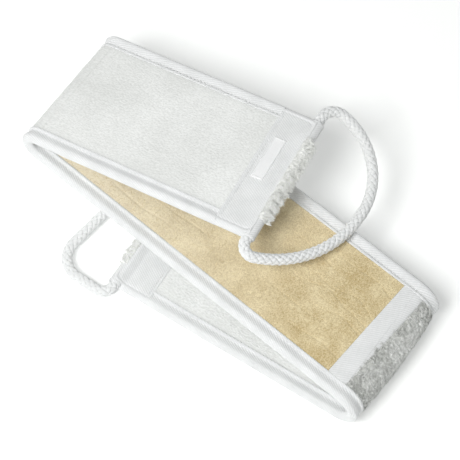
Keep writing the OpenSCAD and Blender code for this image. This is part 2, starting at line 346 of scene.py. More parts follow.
# Place across the panel, and seed, of each crease
LOOFAH_CREASES = ((-29, 41), (-17, 43), (-8, 45), (2, 47), (9, 49), (21, 51), (30, 53))


def loofah_height(s, v):
    knots = tufts(s, v, 1.1, 31) * 0.17 + waves(s, v, 0.8, 32) * 0.13
    swell = waves(s, v, 22, 33) * 0.3 + waves(s * 0.35, v, 4, 34) * 0.12
    folds = sum(crease(s, v, at, 7, seed) for at, seed in LOOFAH_CREASES)
    return LOOFAH_TOP + knots + swell * edge_dip(v, FACE_HALF_W) - 0.35 * folds


def ribs(along, across):
    """Height of the diagonal ribs of twill tape, from -1 to 1."""
    slant = along * RIB_ALONG + across * RIB_ACROSS
    return np.sin(2 * math.pi * slant / RIB_PITCH)


def bump_at(x, centre, width):
    return np.exp(-((x - centre) / width) ** 2)


# ---- mesh building

class Soft:
    """The vertices and faces of one piece, in millimetres of the object frame."""

    def __init__(self):
        self.points = []
        self.cloth = []
        self.faces = []
        self.count = 0

    def add(self, points, cloth, faces):
        """faces is a list of (array of corners, True where the face is shaded flat)."""
        self.points.append(points)
        self.cloth.append(cloth)
        self.faces += [(np.asarray(f, np.int64) + self.count, flat) for f, flat in faces]
        self.count += len(points)

    def make(self, name, material):
        points = np.concatenate(self.points) / MM
        cloth = np.concatenate(self.cloth)
        corners = np.concatenate([f.ravel() for f, _ in self.faces])
        totals = np.concatenate([np.full(len(f), f.shape[1]) for f, _ in self.faces])
        flat = np.concatenate([np.full(len(f), sharp) for f, sharp in self.faces])
        starts = np.concatenate([[0], np.cumsum(totals)[:-1]])
        mesh = bpy.data.meshes.new(name)
        mesh.vertices.add(len(points))
        mesh.vertices.foreach_set("co", points.astype(np.float32).ravel())
        mesh.loops.add(len(corners))
        mesh.loops.foreach_set("vertex_index", corners.astype(np.int32))
        mesh.polygons.add(len(totals))
        mesh.polygons.foreach_set("loop_start", starts.astype(np.int32))
        mesh.update(calc_edges=True)
        mesh.polygons.foreach_set("use_smooth", ~flat)
        layer = mesh.attributes.new("cloth", "FLOAT_VECTOR", "POINT")
        layer.data.foreach_set("vector", cloth.astype(np.float32).ravel())
        mesh.materials.append(material)
        mesh.validate()
        mesh.update()
        piece = bpy.data.objects.new(name, mesh)
        bpy.context.scene.collection.objects.link(piece)
        return piece


def quads(a, b, c, d):
    return np.stack([a.ravel(), b.ravel(), c.ravel(), d.ravel()], axis=1)


def ring_walls(corners):
    """Faces between neighbouring rings, for corner numbers laid out as (..., rings, sides)."""
    beside = np.roll(corners, -1, axis=-1)
    return quads(
        corners[..., :-1, :], corners[..., 1:, :], beside[..., 1:, :], beside[..., :-1, :]
    )


def bored_tube(rows, sides):
    """Faces of a thick tube: its outer rings are numbered first, then the two ends of its bore."""
    skin = np.arange(rows * sides).reshape(rows, sides)
    bore = skin.size + np.arange(2 * sides).reshape(2, sides)
    skin_beside = np.roll(skin, -1, axis=1)
    bore_beside = np.roll(bore, -1, axis=1)
    return [
        (ring_walls(skin), False),
        (quads(bore[0], bore_beside[0], bore_beside[1], bore[1]), True),
        (quads(skin[0], skin_beside[0], bore_beside[0], bore[0]), True),
        (quads(skin[-1], bore[1], bore_beside[1], skin_beside[-1]), True),
    ]


def turned(faces, flip):
    """The faces, turned to look the other way where flip is true."""
    return [(f[:, ::-1] if flip else f, sharp) for f, sharp in faces]


def add_sheet(soft, side, start, end, v_range, height, base, grid):
    """A closed sheet on one face of the strap, between two lines across it."""
    cols = max(2, round((v_range[1] - v_range[0]) / grid))
    v = np.linspace(v_range[0], v_range[1], cols + 1)
    first, last = start(v), end(v)
    rows = max(2, round(float(np.mean(last - first)) / grid))
    share = np.linspace(0, 1, rows + 1)[:, None]
    s = first + share * (last - first)
    v = np.broadcast_to(v, s.shape)
    top = np.stack([s, v, side * height(s, v)], axis=2)
    rim = np.concatenate([top[:, :1], top[:, -1:]], axis=1).copy()
    rim[:, :, 2] = side * base
    flat = np.concatenate([top.reshape(-1, 3), rim.reshape(-1, 3)])
    face = np.arange((rows + 1) * (cols + 1)).reshape(rows + 1, cols + 1)
    near = face.size + 2 * np.arange(rows + 1)
    far = near + 1
    faces = [
        (quads(face[:-1, :-1], face[1:, :-1], face[1:, 1:], face[:-1, 1:]), False),
        (quads(near[:-1], far[:-1], far[1:], near[1:]), True),
        (quads(near[:-1], near[1:], face[1:, 0], face[:-1, 0]), True),
        (quads(face[:-1, -1], face[1:, -1], far[1:], far[:-1]), True),
        (np.concatenate([[near[0]], face[0], [far[0]]])[None], True),
        (np.concatenate([[far[-1]], face[-1, ::-1], [near[-1]]])[None], True),
    ]
    soft.add(on_strap(flat), flat, turned(faces, side < 0))


def add_sweep(soft, profile, normals, lift, start, end, flip):
    """A closed outline across the strap, swept between two lines across it and lifted off itself."""
    first, last = start(profile[:, 0]), end(profile[:, 0])
    rows = max(2, round(float(np.mean(last - first)) / BINDING_GRID))
    share = np.linspace(0, 1, rows + 1)[:, None]
    s = first + share * (last - first)
    raised = lift(s)
    v = profile[:, 0] + normals[:, 0] * raised
    n = np.maximum(profile[:, 1] + normals[:, 1] * raised, -rest_depth(s))
    flat = np.stack([s, v, n], axis=2).reshape(-1, 3)
    path = distance_along(profile)
    cloth = np.stack([s, np.broadcast_to(-path, s.shape), n], axis=2).reshape(-1, 3)
    skin = np.arange((rows + 1) * len(profile)).reshape(rows + 1, -1)
    faces = [
        (ring_walls(skin), False),
        (skin[0][None], True),
        (skin[-1, ::-1][None], True),
    ]
    soft.add(on_strap(flat), cloth, turned(faces, flip))


def outline_normals(profile):
    """Outward normals of an outline that runs clockwise seen from beyond the strap's upper end."""
    tangent = np.roll(profile, -1, axis=0) - np.roll(profile, 1, axis=0)
    length = np.maximum(np.linalg.norm(tangent, axis=1), 1e-6)
    return np.stack([-tangent[:, 1], tangent[:, 0]], axis=1) / length[:, None]


def resample(points, step):
    """Points at even spacing along a smooth line through the given ones."""
    points = np.array(points, float)
    for _ in range(3):
        cut = np.empty((2 * len(points) - 2, 2))
        cut[0::2] = points[:-1] * 0.75 + points[1:] * 0.25
        cut[1::2] = points[:-1] * 0.25 + points[1:] * 0.75
        points = np.concatenate([points[:1], cut, points[-1:]])
    along = distance_along(points)
    at = np.linspace(0, along[-1], max(3, round(along[-1] / step)) + 1)
    return np.stack([np.interp(at, along, points[:, i]) for i in range(2)], axis=1)


# Half of the binding's outer line on one face, as distance from the centreline and height
BINDING_LINE = [
    (39.5, 2.7), (39.3, 3.4), (39.5, 3.9), (40.0, 4.02), (40.6, 3.98), (41.1, 3.75), (41.3, 3.2),
    (41.6, 2.84), (42.2, 2.82), (43.3, 3.08), (44.7, 3.75), (46.2, 4.38), (47.4, 4.36), (48.5, 3.65),
    (49.4, 2.3), (49.9, 1.1), (50.0, 0.0)
]
# Depth that the underside keeps to where the strap rests on the floor, and elsewhere
REST_DEPTH = 3.46
FREE_DEPTH = 4.6


def binding_profile():
    """The binding's outer line, and its closed outline with the cut edge of the cloth inside."""
    half = resample(BINDING_LINE, 0.42)
    outer = np.concatenate([half, half[::-1][1:] * [1, -1]])
    inner = np.array([[SEAM_HALF_W, -PLY_TOP], [SEAM_HALF_W, PLY_TOP]])
    return outer, np.concatenate([outer, inner])


def rest_depth(s):
    """The depth that the underside of the tape may reach at s."""
    raised = np.clip((s - LOWER_FOLD.at - 4) / (LOWER_FOLD.end - LOWER_FOLD.at), 0, 1)
    return REST_DEPTH + (FREE_DEPTH - REST_DEPTH) * raised


def add_binding(soft, edge, start, end):
    """The tape folded round one edge of the strap; edge is 1 for the far edge, -1 for the near one."""
    outer, profile = binding_profile()
    normals = outline_normals(profile)
    path = distance_along(outer)
    share = np.minimum(path, path[-1] - path)
    amount = np.zeros(len(profile))
    amount[:len(outer)] = np.clip(share / 1.2 - 0.3, 0, 1) * RIB_HEIGHT
    across = np.zeros(len(profile))
    across[:len(outer)] = path

    def lift(s):
        slow = (waves(s, across + edge * 60, 19, 61) - 0.5) * 0.34
        return (ribs(s, -across) - 0.4 + slow / RIB_HEIGHT) * amount

    side = profile * [edge, 1]
    add_sweep(soft, side, normals * [edge, 1], lift, start, end, edge < 0)


def add_tubes(soft, paths, radii, sides, cloth=None):
    """Tubes along paths (count, rings, 3) in the object frame, with a radius at each ring.
    cloth holds the cloth coordinates of each ring."""
    count, rings, _ = paths.shape
    tangent = unit(np.gradient(paths, axis=1))
    spare = np.where(np.abs(tangent[:, :1, 2:]) > 0.8, [1.0, 0, 0], [0, 0, 1.0])
    wide = unit(np.cross(tangent, spare))
    deep = np.cross(tangent, wide)
    turn = np.arange(sides) * 2 * math.pi / sides
    ring = wide[:, :, None] * np.cos(turn)[:, None] + deep[:, :, None] * np.sin(turn)[:, None]
    points = paths[:, :, None] + ring * np.asarray(radii)[:, None, None]
    skin = np.arange(count * rings * sides).reshape(count, rings, sides)
    faces = [
        (ring_walls(skin)[:, ::-1], False),
        (skin[:, 0, ::-1], True),
        (skin[:, -1], True),
    ]
    flat = points.reshape(-1, 3)
    soft.add(flat, flat if cloth is None else np.repeat(cloth.reshape(-1, 3), sides, axis=0), faces)


def scatter(rng, s_range, v_range, spacing):
    """Jittered points on the strap, one for each square of the spacing."""
    s = np.arange(s_range[0] + spacing / 2, s_range[1], spacing)
    v = np.arange(v_range[0] + spacing / 2, v_range[1], spacing)
    grid = np.stack(np.meshgrid(s, v, indexing="ij"), axis=2).reshape(-1, 2)
    return grid + (rng.random(grid.shape) - 0.5) * spacing * 0.9


def add_pile(soft, seed, start, end, spacing, per_tuft, height, floor=None, base=None):
    """Curled pile in tufts between two lines across the strap.
    base gives the height of the ground it grows from, and floor is the lowest that it may hang."""
    rng = np.random.default_rng(seed)
    s_all = np.array([line(v) for line in (start, end) for v in FULL_W])
    roots = scatter(rng, (s_all.min(), s_all.max()), FULL_W, spacing)
    roots = roots[(roots[:, 0] > start(roots[:, 1])) & (roots[:, 0] < end(roots[:, 1]))]
    tuft_lean = np.repeat(rng.random(len(roots)) * 2 * math.pi, per_tuft)
    tuft_height = np.repeat(0.55 + 0.45 * rng.random(len(roots)), per_tuft)
    roots = np.repeat(roots, per_tuft, axis=0)
    count = len(roots)
    roots = roots + rng.normal(size=(count, 2)) * spacing * 0.2
    lean = tuft_lean + rng.normal(size=count) * 0.45
    tall = height * tuft_height * (0.6 + 0.4 * rng.random(count))
    wide = height * (0.25 + 0.4 * rng.random(count))
    t = np.linspace(0, 1, 6)
    curl = (math.pi * (0.6 + 0.55 * rng.random(count)))[:, None] * t
    out = wide[:, None] * (1 - np.cos(curl))
    s = roots[:, :1] + np.cos(lean)[:, None] * out
    v = np.clip(roots[:, 1:] + np.sin(lean)[:, None] * out, *FULL_W)
    ground = base(s, v) if base else PLY_TOP
    n = ground + 0.3 + np.maximum(tall[:, None] * np.sin(curl), 0)
    flat = np.stack([s, v, PILE * n], axis=2)
    paths = bent(flat)
    if floor is not None:
        paths[:, :, 2] = np.maximum(paths[:, :, 2], floor + 0.2)
    add_tubes(soft, paths, PILE_RADII, 3, flat)


def add_stitches(soft, start, end):
    """Rows of stitches in the valley of each binding, on both faces."""
    t = np.linspace(0, 1, 6)
    rise = STITCH_N + 0.22 * np.sin(math.pi * t)
    for v in (-STITCH_V, STITCH_V):
        first = math.ceil(start(v) / STITCH_PITCH) * STITCH_PITCH
        at = np.arange(first, end(v) - STITCH_LEN, STITCH_PITCH)
        s = at[:, None] + t * STITCH_LEN
        for side in (TERRY, PILE):
            flat = np.stack([s, np.full(s.shape, v), side * np.broadcast_to(rise, s.shape)], axis=2)
            add_tubes(soft, bent(flat), STITCH_RADII, 6)


# ---- materials

def feed(tree, socket, value):
    """Links another node's output to a socket, or sets the socket's own value."""
    if isinstance(value, bpy.types.NodeSocket):
        tree.links.new(value, socket)
    else:
        socket.default_value = value


def node(tree, kind, inputs=None, **settings):
    made = tree.nodes.new(kind)
    for name, value in settings.items():
        setattr(made, name, value)
    for name, value in (inputs or {}).items():
        feed(tree, made.inputs[name], value)
    return made


def noise(tree, vector, scale, detail=3.0, rough=0.6):
    made = node(tree, "ShaderNodeTexNoise", {
        "Vector": vector, "Scale": scale, "Detail": detail, "Roughness": rough
    })
    return made.outputs["Fac"]


def mix_colour(tree, share, a, b):
    made = node(tree, "ShaderNodeMix", data_type="RGBA")
    tree.links.new(share, made.inputs[0])
    for socket, colour in ((made.inputs[6], a), (made.inputs[7], b)):
        feed(tree, socket, (*colour, 1) if isinstance(colour, tuple) else colour)
    return made.outputs[2]


def ramp(tree, value, low, high):
    made = node(tree, "ShaderNodeMapRange", {"Value": value, "From Min": low, "From Max": high})
    return made.outputs["Result"]


def maths(tree, operation, a, b):
    made = node(tree, "ShaderNodeMath", operation=operation)
    feed(tree, made.inputs[0], a)
    feed(tree, made.inputs[1], b)
    return made.outputs[0]


def weighted(tree, a, b, share):
    """A mix of two values, with the given share of the second."""
    return maths(tree, "ADD", maths(tree, "MULTIPLY", a, 1 - share), maths(tree, "MULTIPLY", b, share))


def part(tree, vector, axis):
    """One of a vector's three parts."""
    return node(tree, "ShaderNodeSeparateXYZ", {"Vector": vector}).outputs[axis]


def twill_ribs(tree, where):
    """From 0 in the grooves to 1 on the ribs that the tape's mesh carries; used for the bump and for
    painted shade in the grooves.
    """
    axes = node(tree, "ShaderNodeSeparateXYZ", {"Vector": where}).outputs
    along = maths(tree, "MULTIPLY", axes[0], RIB_ALONG)
    slant = maths(tree, "ADD", along, maths(tree, "MULTIPLY", axes[1], RIB_ACROSS))
    phase = maths(tree, "MULTIPLY", slant, 2 * math.pi / RIB_PITCH)
    return ramp(tree, maths(tree, "SINE", phase, 0.0), -1.7, 0.5)


def fabric(
    name, light, dark, grain, bump, sheen=0.25, rough=0.95, weave=None, blotch=0.08, ribbed=False,
    painted_glow=0.0, depth=None, stretch=1.0, fade=None
):
    """Cloth: two-tone colour, fine fibre grain, an optional weave, and soft sheen.
    glow is painted light, an emission that makes thin fibres shine as if light passed through them,
    depth is the heights between which the cloth goes from dark to light, painted shade deep in the cloth,
    stretch draws the grain out along the strap, and fade is a lighter colour, painted light,
    with the two places along the strap between which it takes over. The weave and the ribs
    darken their grooves with painted shade."""
    material = bpy.data.materials.new(name)
    material.use_nodes = True
    tree = material.node_tree
    tree.nodes.clear()
    where = node(tree, "ShaderNodeAttribute", attribute_name="cloth").outputs["Vector"]
    squeeze = (1 / stretch, 1, 1)
    drawn = node(tree, "ShaderNodeVectorMath", {0: where, 1: squeeze}, operation="MULTIPLY")
    fine = noise(tree, drawn.outputs["Vector"], grain, 4.0)
    broad = noise(tree, where, blotch, 2.0)
    tone = weighted(tree, fine, broad, 0.35)
    colour = mix_colour(tree, ramp(tree, tone, 0.36, 0.62), dark, light)
    height = fine
    if weave:
        threads = node(tree, "ShaderNodeTexWave", {
            "Vector": where, "Scale": weave, "Distortion": 0.6, "Detail": 1.0, "Detail Scale": 2.0
        }, bands_direction="DIAGONAL").outputs["Fac"]
        height = weighted(tree, fine, threads, 0.5)
        # Painted shade: the grooves of the weave are darkened.
        colour = mix_colour(tree, ramp(tree, threads, 0.0, 0.5), dark, colour)
    painted_glow_strength = 0.0
    # Painted light: the cloth turns to a lighter colour along the strap.
    if fade:
        painted_light_colour, fade_from, fade_to = fade
        colour = mix_colour(tree, ramp(tree, part(tree, where, 0), fade_from, fade_to), colour, painted_light_colour)
    # Painted shade: the lower the cloth lies, the darker it is, as shade deep between its loops and
    # fibres.
    if depth:
        layer = maths(tree, "ABSOLUTE", part(tree, where, 2), 0.0)
        colour = mix_colour(tree, ramp(tree, layer, *depth), dark, colour)
        # Painted light: an emission, stronger towards the fibre tips, in place of the light that thin
        # fibres pass on.
        painted_glow_strength = maths(tree, "MULTIPLY", ramp(tree, layer, *depth), painted_glow)
    if ribbed:
        raised = twill_ribs(tree, where)
        # Painted shade in the grooves between the twill ribs.
        colour = mix_colour(tree, raised, dark, colour)
        height = maths(tree, "ADD", maths(tree, "MULTIPLY", height, 0.5), raised)
    bumped = node(tree, "ShaderNodeBump", {"Height": height, "Strength": bump, "Distance": BUMP_DEPTH})
    shader = node(tree, "ShaderNodeBsdfPrincipled", {
        "Base Color": colour, "Roughness": rough, "Normal": bumped.outputs["Normal"],
        "Sheen Weight": sheen, "Sheen Roughness": 0.6, "Specular IOR Level": 0.2,
        "Emission Color": colour, "Emission Strength": painted_glow_strength
    })
    out = node(tree, "ShaderNodeOutputMaterial")
    tree.links.new(shader.outputs[0], out.inputs["Surface"])
    return material


# Terry: the depth range paints shade into the low parts between its loops.
TERRY_CLOTH = fabric(
    "terry_cloth", (0.94, 0.95, 0.935), (0.74, 0.75, 0.73), 1.5, 0.9, blotch=0.02, depth=(3.1, 3.45),
    stretch=2.5
)
# Long pile, a darker copy of the fringe's cloth: painted shade darkens its ground and fibre roots, and
# weak painted light is given off by its fibres.
PILE_CLOTH = fabric(
    "pile_cloth", (0.97, 0.975, 0.96), (0.5, 0.51, 0.48), 0.5, 0.3, sheen=0.4, painted_glow=0.04,
    depth=(3.0, 4.2)
)
# The fringe, a brighter copy of the pile's cloth: less painted shade at the roots and stronger painted
# light given off by its fibres.
FRINGE_CLOTH = fabric(
    "fringe_cloth", (0.97, 0.975, 0.96), (0.72, 0.73, 0.7), 0.5, 0.3, sheen=0.4, painted_glow=0.17,
    depth=(2.8, 4.4)
)
# Loofah: the fade is painted light, a lighter colour towards the panel's upper end near the upper fold.
LOOFAH_CLOTH = fabric(
    "loofah_cloth", (0.89, 0.77, 0.5), (0.48, 0.35, 0.15), 1.4, 1.0, sheen=0.2, blotch=0.06,
    fade=((0.97, 0.9, 0.74), LOOFAH_START + 30, LOOFAH_END + 70)
)
# Tape: painted shade in the grooves between its twill ribs.
TWILL = fabric("twill_tape", (0.92, 0.925, 0.93), (0.74, 0.75, 0.75), 2.2, 0.35, ribbed=True)
THREAD = fabric("thread", (0.95, 0.95, 0.95), (0.82, 0.82, 0.82), 3.0, 0.4, rough=0.7)
# Rope and label: the weave darkens the grooves between yarns and threads with painted shade.
ROPE_YARN = fabric("rope_yarn", (0.93, 0.935, 0.935), (0.82, 0.83, 0.83), 1.6, 0.5, weave=0.8)
LABEL_CLOTH = fabric("label_cloth", (0.97, 0.97, 0.97), (0.89, 0.895, 0.9), 2.6, 0.3, weave=1.1)


# ---- placing pieces

def settle(soft, name, material, body, *nodes):
    """Makes a piece that rides on one body and stands for the given CAD nodes."""
    piece = soft.make(name, material)
    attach(piece, body)
    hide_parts(*nodes)


def bend_with(soft, name, material, fold, number, *nodes):
    """Makes a piece for one hinge of a fold, fixed in the object frame, and stands for the given CAD
    nodes.
    """
    piece = soft.make(name, material)
    first = on_strap(np.array([[fold.line((number - 1) / fold.steps)(0.0), 0, 0]]))[0] / MM
    last = on_strap(np.array([[fold.line(number / fold.steps)(0.0), 0, 0]]))[0] / MM
    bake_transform(piece)
    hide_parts(*nodes)


# ---- flat sections

def make_terry(name, grid):
    """Looped terry on the top of a flat section."""
    soft = Soft()
    add_sheet(soft, TERRY, *FLAT_RUNS[name], FULL_W, terry_height, CORE_TOP, grid)
    nodes = (f"{name}_terry_face", f"{name}_core")
    settle(soft, f"{name}_terry", TERRY_CLOTH, f"{name}_section", *nodes)


def make_long_pile(name, seed, spacing, per_tuft, height, floor=None):
    """Long pile on the underside of an end section."""
    soft = Soft()
    add_sheet(soft, PILE, *FLAT_RUNS[name], FULL_W, pile_height, CORE_TOP, HIDDEN_GRID)
    add_pile(soft, seed, *FLAT_RUNS[name], spacing, per_tuft, height, floor)
    settle(soft, f"{name}_pile", PILE_CLOTH, f"{name}_section", f"{name}_pile_face")


def make_loofah():
    """Loofah cloth on the underside of the middle section."""
    soft = Soft()
    start, end = straight(LOOFAH_START), straight(LOOFAH_END)
    add_sheet(soft, PILE, start, end, FULL_W, loofah_height, CORE_TOP, LOOFAH_GRID)
    add_fibres(soft, 7, LOOFAH_START + 1, LOOFAH_END - 1)
    settle(soft, "loofah_panel", LOOFAH_CLOTH, "middle_section", "middle_loofah_panel")


def make_faces():
    """Terry, pile and loofah of the three flat sections."""
    make_terry("lower", TERRY_GRID)
    make_long_pile("lower", seed=101, spacing=4.2, per_tuft=6, height=1.2, floor=0.0)
    make_terry("middle", HIDDEN_GRID)
    make_loofah()
    make_terry("upper", TERRY_GRID)
    make_long_pile("upper", seed=103, spacing=3.8, per_tuft=7, height=2.4)


def add_fibres(soft, seed, *s_range):
    """Loose plant fibres lying on the loofah cloth."""
    rng = np.random.default_rng(seed)
    roots = scatter(rng, s_range, (-FACE_HALF_W + 1, FACE_HALF_W - 1), FIBRE_SPACING)
    count = len(roots)
    heading = rng.random(count) * math.pi
    length = 1.6 + 3.4 * rng.random(count) ** 2
    curl = rng.normal(size=count) * 0.9
    t = np.linspace(-0.5, 0.5, 5)
    angle = heading[:, None] + curl[:, None] * t
    s = np.clip(roots[:, :1] + np.cos(angle) * t * length[:, None], *s_range)
    v = np.clip(roots[:, 1:] + np.sin(angle) * t * length[:, None], -FACE_HALF_W, FACE_HALF_W)
    n = -(loofah_height(s, v) + 0.12 * (1 - (2 * t) ** 2) - 0.03)
    add_tubes(soft, bent(np.stack([s, v, n], axis=2)), LOOFAH_RADII, 4)


def band_height(start, end):
    """Height of a puffed band between two lines across the strap, as a function of s and v."""
    def height(s, v):
        near = np.minimum(s - start(v), end(v) - s)
        puff = 0.75 * (1 - (1 - np.clip(near / 5, 0, 1)) ** 2)
        ends = 0.25 * np.clip((np.abs(v) - FACE_HALF_W + 2.5) / 2.5, 0, 1)
        edge = 0.35 * np.clip(1 - near / 0.5, 0, 1)
        sag = 0.12 * waves(s, v, 11, 71)
        return BAND_TOP + puff + sag + 0.05 * ribs(s, v) - edge - ends
    return height


def make_bands():
    """Twill bands across the two ends of the loofah panel; the lower one reaches on to its fold."""
    outer = straight(LOOFAH_START - BAND_W)
    inner = straight(LOOFAH_START + 0.3)
    fold_end = LOWER_FOLD.line(1)
    height = band_height(outer, inner)
    soft = Soft()
    add_sheet(soft, PILE, outer_of(outer, fold_end), inner, FULL_W, height, CORE_TOP, BAND_GRID)
    settle(soft, "lower_band", TWILL, "middle_section", "lower_cross_band", "middle_pile_strip")

    def tucked_height(s, v):
        return height(s, v) - 0.07 * np.clip((s - fold_end(v)) * 8 + 1, 0, 1)

    soft = Soft()
    first_v = (LOOFAH_START - BAND_W - LOWER_FOLD.end) / math.tan(LOWER_FOLD.skew)
    tucked_end = LOWER_FOLD.line(1 + 0.5 / LOWER_FOLD.arc)
    v_range = (first_v + 0.5, FACE_HALF_W)
    add_sheet(soft, PILE, outer, tucked_end, v_range, tucked_height, CORE_TOP, BAND_GRID)
    bend_with(soft, "lower_band_edge", TWILL, LOWER_FOLD, LOWER_FOLD.steps, "lower_fold_outer_pile")

    inner, outer = straight(LOOFAH_END - 0.3), UPPER_FOLD.line(0)
    soft = Soft()
    add_sheet(soft, PILE, inner, outer, FULL_W, band_height(inner, outer), CORE_TOP, BAND_GRID)
    settle(soft, "upper_band", TWILL, "middle_section", "upper_cross_band")


def make_bindings():
    """Edge tape and seam stitches of the three flat sections."""
    for name, (start, end) in FLAT_RUNS.items():
        for edge, side in ((-1, "near"), (1, "far")):
            soft = Soft()
            add_binding(soft, edge, start, end)
            settle(soft, f"{name}_{side}_tape", TWILL, f"{name}_section", f"{name}_{side}_binding")
        soft = Soft()
        add_stitches(soft, start, end)
        settle(soft, f"{name}_stitches", THREAD, f"{name}_section", f"{name}_seam_thread")


# ---- folds

def make_fold(fold, name, grow_pile):
    """The cloths and tape that bend round one fold, one set of pieces for each hinge."""
    # The halves of the fold whose CAD nodes each hinge's pieces stand for
    stood_for = {1: ("inner",), 2: ("inner", "outer"), 3: ("outer",)}
    for number, parts in stood_for.items():
        start = fold.line((number - 1) / fold.steps)
        end = fold.line(number / fold.steps)

        soft = Soft()
        add_sheet(soft, TERRY, start, end, FULL_W, terry_height, CORE_TOP, TERRY_GRID)
        nodes = [f"{name}_{part}_{layer}" for part in parts for layer in ("terry", "core")]
        bend_with(soft, f"{name}_terry_{number}", TERRY_CLOTH, fold, number, *nodes)

        soft = Soft()
        grow_pile(soft, number, start, pile_stop(fold, number))
        nodes = [f"{name}_{part}_pile" for part in parts]
        bend_with(soft, f"{name}_pile_{number}", PILE_CLOTH, fold, number, *nodes)

        for edge, side in ((-1, "near"), (1, "far")):
            soft = Soft()
            add_binding(soft, edge, start, end)
            nodes = [f"{name}_{part}_bindings" for part in parts]
            bend_with(soft, f"{name}_{side}_tape_{number}", TWILL, fold, number, *nodes)


def pile_stop(fold, number):
    """Where the pile of one hinge's cloth ends: at the next hinge's, or at the cross band."""
    end = fold.line(number / fold.steps)
    if fold is UPPER_FOLD or number < fold.steps:
        return end
    return lambda v: np.minimum(end(v), LOOFAH_START - BAND_W + 0.2)


def bulge(s, v):
    """How far the pile swells round the outside of the lower fold."""
    run = np.clip((s - LOWER_FOLD.at) / (LOOFAH_START - BAND_W - LOWER_FOLD.at), 0, 1)
    return 1.7 * (1 - (v / FACE_HALF_W) ** 2) * np.sin(math.pi * run) ** 1.2


def outer_pile(soft, number, start, end):
    """Long pile round the outside of the lower fold, up to the cross band."""
    def height(s, v):
        return pile_height(s, v) + bulge(s, v)

    def ground(s, v):
        return PLY_TOP + bulge(s, v)

    add_sheet(soft, PILE, start, end, FULL_W, height, CORE_TOP, TERRY_GRID)
    add_pile(soft, 110 + number, start, end, 1.9, 9, 2.1, floor=0.0, base=ground)


def inner_pile(soft, number, start, end):
    """Flattened pile inside the upper fold."""
    add_sheet(soft, PILE, start, end, FULL_W, pile_height, CORE_TOP, TERRY_GRID)
    add_pile(soft, 120 + number, start, end, 3.0, 6, 1.4)


# ---- ends

def tab_outline():
    """Outer line of an end tab round the strap, from one edge over the terry side and back beneath."""
    flat_half = STRAP_HALF_W - HALF_T
    top_v = np.linspace(-flat_half, flat_half, 208)
    turn = np.linspace(math.pi / 2, -math.pi / 2, 13)[1:-1]
    far = np.stack([flat_half + HALF_T * np.cos(turn), HALF_T * np.sin(turn)], axis=1)
    top = np.stack([top_v, np.full(top_v.shape, HALF_T)], axis=1)
    near = far * [-1, -1]
    return np.concatenate([top, far, top[::-1] * [1, -1], near])


def make_end(name, place_s, lift, tab_len, longest):
    """The webbing tab, its rope casing and the pile fringe of one end.
    place_s turns distance in from the end into s, lift is the height of the casing's axis,
    and longest is the length of the longest fibre of the fringe."""
    outline = tab_outline()
    normals = outline_normals(outline)
    top = outline[:, 1] > HALF_T - 0.01
    across = distance_along(outline)
    edge_in = STRAP_HALF_W - np.abs(outline[:, 0])

    def relief(s):
        """Height above the outline: hem, seams and ribs, and the climb onto the casing."""
        inward = place_s(s)
        lip = 0.42 * bump_at(inward, tab_len - 0.9, 0.8)
        groove = 0.22 * bump_at(inward, tab_len - TAB_STITCH_IN, 0.6)
        corner = np.hypot(np.maximum(HEM_W - edge_in, 0), np.maximum(SEAM_IN + 5 - inward, 0))
        hem = HEM_W - corner
        climb = np.clip((2 * CASING_R + 2.5 - inward) / 6.5, 0, 1)
        climb = climb ** 2 * (3 - 2 * climb) * (lift + CASING_R - HALF_T) * np.clip(edge_in / 4, 0, 1)
        fade = np.clip(1.25 - (inward - SEAM_IN) / tab_len, 0.25, 1)
        ridge = (0.5 * bump_at(hem, 2.4, 1.5) - 0.5 * bump_at(hem, 4.7, 0.7)) * fade
        rolls = 0.25 * bump_at(edge_in, 2.4, 1.8)
        slow = (waves(s, outline[:, 0], 13, 81) - 0.5) * 0.35
        grain = 0.07 * ribs(s, across)
        upper_side = lip - groove + ridge + rolls + slow + climb
        return np.where(top, upper_side, -0.04 + 0 * s) + grain - 0.05

    soft = Soft()
    start, end = sorted((place_s(CASING_R - 1.2), place_s(tab_len)))
    half_size = np.array([STRAP_HALF_W, HALF_T])
    hollow = outline * ((half_size - TAPE_T) / half_size)
    add_sleeve(soft, outline, normals, relief, hollow, start, end)
    add_casing(soft, place_s, lift)
    add_tab_stitches(soft, place_s, tab_len)
    settle(soft, f"{name}_tab", TWILL, f"{name}_section", f"{name}_end_tab")

    soft = Soft()
    add_fringe(soft, place_s, lift, longest)
    settle(soft, f"{name}_fringe", FRINGE_CLOTH, f"{name}_section", f"{name}_pile_fringe")


def add_sleeve(soft, outline, normals, relief, hollow, start, end):
    """A tube round the strap with a relief on its outside."""
    rows = round((end - start) / 0.45)
    s = np.linspace(start, end, rows + 1)[:, None] + 0 * outline[:, 0]
    raised = relief(s)
    v = outline[:, 0] + normals[:, 0] * raised
    n = np.maximum(outline[:, 1] + normals[:, 1] * raised, -HALF_T)
    sides = len(outline)
    outer = np.stack([s, v, n], axis=2)
    inside = [np.broadcast_to(line, (2, sides)) for line in hollow.T]
    inner = np.stack([s[[0, -1]], *inside], axis=2)
    flat = np.concatenate([outer.reshape(-1, 3), inner.reshape(-1, 3)])
    path = distance_along(outline)
    cloth = flat.copy()
    cloth[:, 1] = np.tile(path, rows + 3)
    soft.add(on_strap(flat), cloth, bored_tube(rows + 1, sides))


def casing_point(place_s, lift, angle, r, v):
    """Point on a circle round the casing's axis; angle 0 is away from the strap, a quarter turn up."""
    s = place_s(CASING_R - r * np.cos(angle))
    return np.stack([s, v + 0 * s, lift + r * np.sin(angle)], axis=-1)


